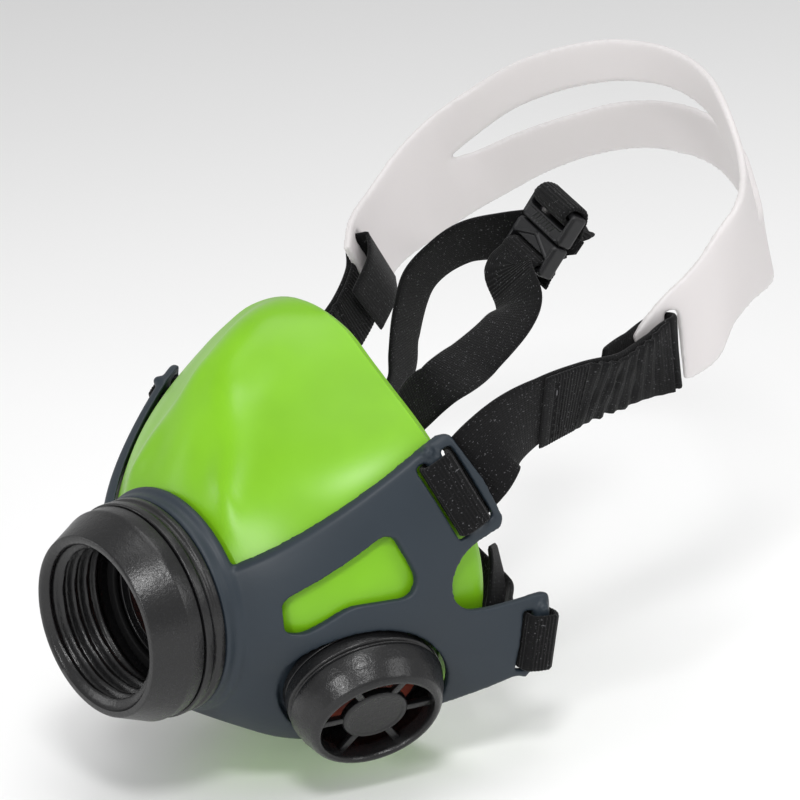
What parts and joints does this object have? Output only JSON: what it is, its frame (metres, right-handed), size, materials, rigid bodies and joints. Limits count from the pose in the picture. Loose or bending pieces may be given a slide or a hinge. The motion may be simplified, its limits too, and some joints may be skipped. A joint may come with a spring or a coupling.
{
  "type": "half mask respirator",
  "caption": "Half-mask respirator: soft facepiece in a rigid yoke, round-thread filter port in front, side exhalation valves, webbing straps and a plastic head cradle.",
  "frame": {"origin": "the filter port's axis where it crosses the plane of the face seal's rearmost edge", "axes": "-Y out of the filter port, +Z to the bridge of the nose, +X to the wearer's left"},
  "size_m": [0.1378, 0.216, 0.1575],
  "materials": {
    "green_silicone": "satin lime green silicone",
    "slate_plastic": "satin dark slate blue moulded plastic",
    "black_plastic": "satin black moulded plastic with a fine sparkle",
    "black_rubber": "matt black rubber",
    "flap_silicone": "thin brick red silicone",
    "webbing": "black ribbed elastic webbing",
    "clear_cradle": "milky translucent flexible plastic",
    "buckle_plastic": "satin black moulded plastic"
  },
  "bodies": {
    "mask": {"facepiece": "green_silicone", "yoke": "slate_plastic", "filter_connector": "black_plastic", "clamp_collar": "black_plastic", "port_lock_nut": "black_plastic", "filter_gasket": "black_rubber", "inhalation_valve_seat": "black_plastic", "exhalation_valve_base_left": "black_plastic", "exhalation_valve_nut_left": "black_plastic", "exhalation_valve_base_right": "black_plastic", "exhalation_valve_nut_right": "black_plastic"},
    "inhalation_flap": {"inhalation_flap": "flap_silicone"},
    "exhalation_flap_left": {"exhalation_flap_left": "flap_silicone"},
    "exhalation_flap_right": {"exhalation_flap_right": "flap_silicone"},
    "cover_left": {"exhalation_cover_left": "black_plastic"},
    "cover_right": {"exhalation_cover_right": "black_plastic"},
    "cradle": {"head_cradle": "clear_cradle", "upper_strap_left": "webbing", "upper_strap_right": "webbing"},
    "neck_socket": {"neck_buckle_socket": "buckle_plastic", "neck_strap_left": "webbing"},
    "neck_hook": {"neck_buckle_hook": "buckle_plastic", "neck_strap_right": "webbing"}
  },
  "joints": [
    {"name": "inhalation_flap_lift", "type": "slide", "parent": "mask", "child": "inhalation_flap", "axis": [0, 1, 0], "range_m": [0, 0.0015], "stiffness_N_per_m": 40},
    {"name": "exhalation_flap_left_lift", "type": "slide", "parent": "mask", "child": "exhalation_flap_left", "axis": [0.7832, -0.3181, -0.5342], "range_m": [0, 0.0015], "stiffness_N_per_m": 40},
    {"name": "exhalation_flap_right_lift", "type": "slide", "parent": "mask", "child": "exhalation_flap_right", "axis": [-0.7832, -0.3181, -0.5342], "range_m": [0, 0.0015], "stiffness_N_per_m": 40},
    {"name": "cover_left_pull", "type": "slide", "parent": "mask", "child": "cover_left", "axis": [0.7832, -0.3181, -0.5342], "range_m": [0, 0.02]},
    {"name": "cover_right_pull", "type": "slide", "parent": "mask", "child": "cover_right", "axis": [-0.7832, -0.3181, -0.5342], "range_m": [0, 0.02]},
    {"name": "harness_swing", "type": "hinge", "parent": "mask", "child": "cradle", "pos_m": [0, -0.0144, 0.025], "axis": [1, 0, 0], "range_deg": [-40, 45], "deforming": ["upper_strap_left", "upper_strap_right"]},
    {"name": "neck_strap_swing", "type": "hinge", "parent": "mask", "child": "neck_socket", "pos_m": [0, 0.0046, -0.0176], "axis": [1, 0, 0], "range_deg": [-60, 10], "deforming": ["neck_strap_left", "neck_strap_right"]},
    {"name": "buckle_release", "type": "slide", "parent": "neck_socket", "child": "neck_hook", "axis": [0.3963, 0.4098, 0.8216], "range_m": [0, 0.02], "deforming": ["neck_strap_right"]}
  ]
}
